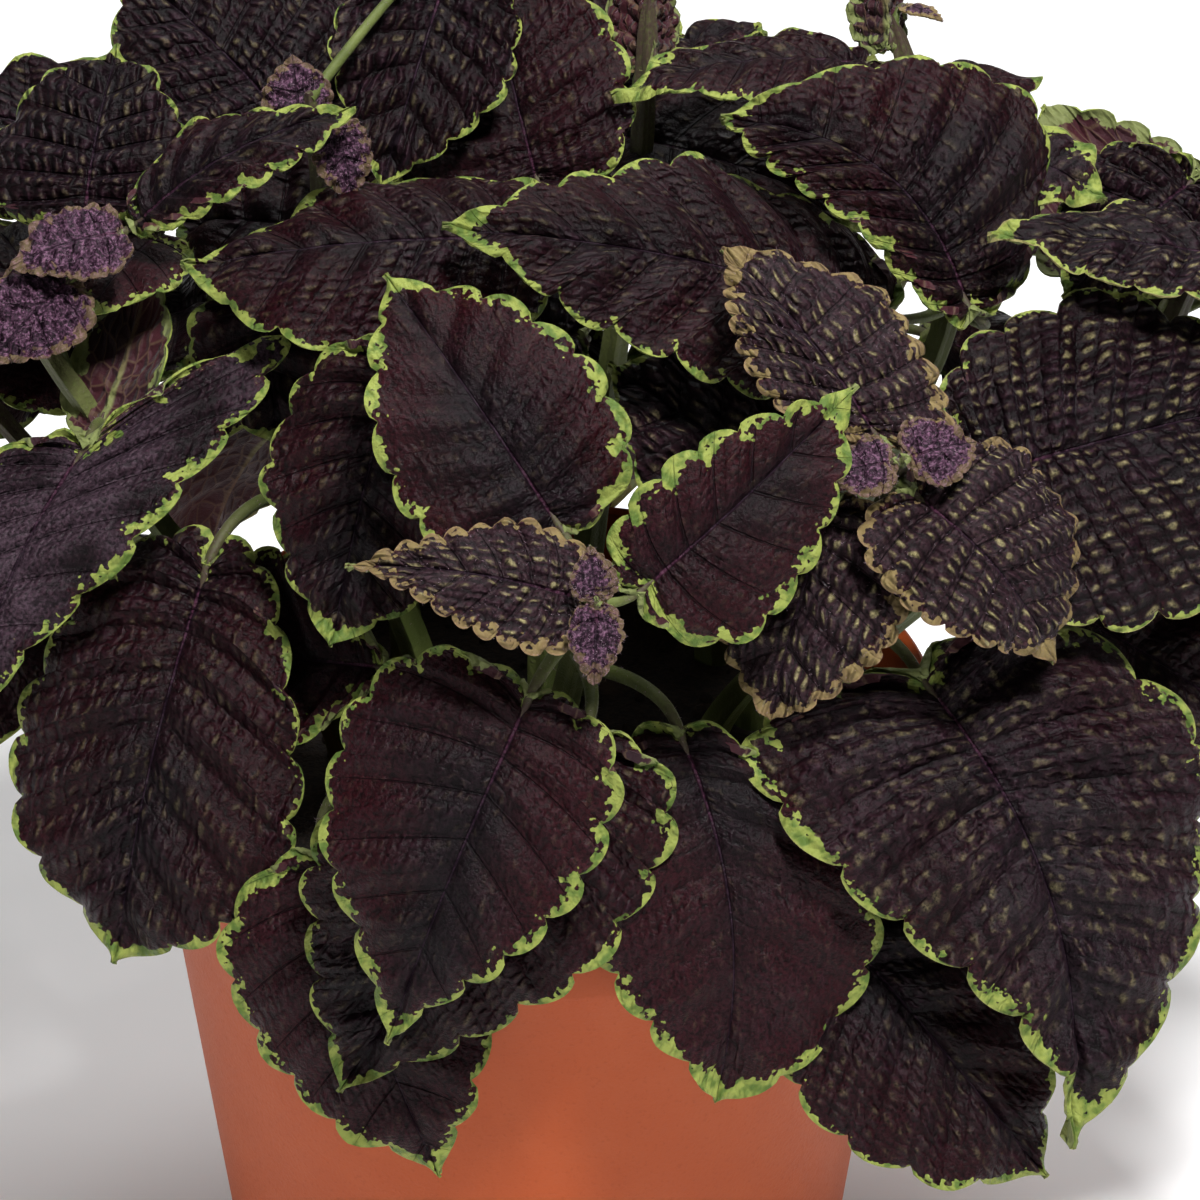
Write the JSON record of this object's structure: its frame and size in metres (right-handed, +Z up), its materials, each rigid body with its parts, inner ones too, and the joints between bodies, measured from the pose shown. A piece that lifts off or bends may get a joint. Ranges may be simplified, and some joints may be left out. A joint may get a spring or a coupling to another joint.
{
  "type": "potted coleus plant",
  "caption": "Bushy coleus with dark purple, lime-edged scalloped leaves on square stems, growing in a tapered round terracotta-coloured plastic pot with a collar.",
  "frame": {"origin": "centre of the pot's flat underside, on the surface the pot stands on", "axes": "+Z up along the pot's axis, -Y toward the plant's front, +X to the plant's right as seen from the front"},
  "size_m": [0.3658, 0.2686, 0.3028],
  "materials": {
    "pot": "satin, fine speckle",
    "potting_soil": "rough, crumbly",
    "foliage": "velvety, quilted"
  },
  "bodies": {
    "root": {"pot": "pot", "potting_soil": "potting_soil", "front_shoot": "foliage", "right_shoot": "foliage", "upper_left_shoot": "foliage", "left_shoot": "foliage", "upper_right_shoot": "foliage", "top_shoot": "foliage", "far_right_shoot": "foliage", "middle_shoot": "foliage", "low_left_shoot": "foliage", "back_left_shoot": "foliage", "back_shoot": "foliage", "back_right_shoot": "foliage", "far_left_shoot": "foliage"}
  },
  "joints": []
}
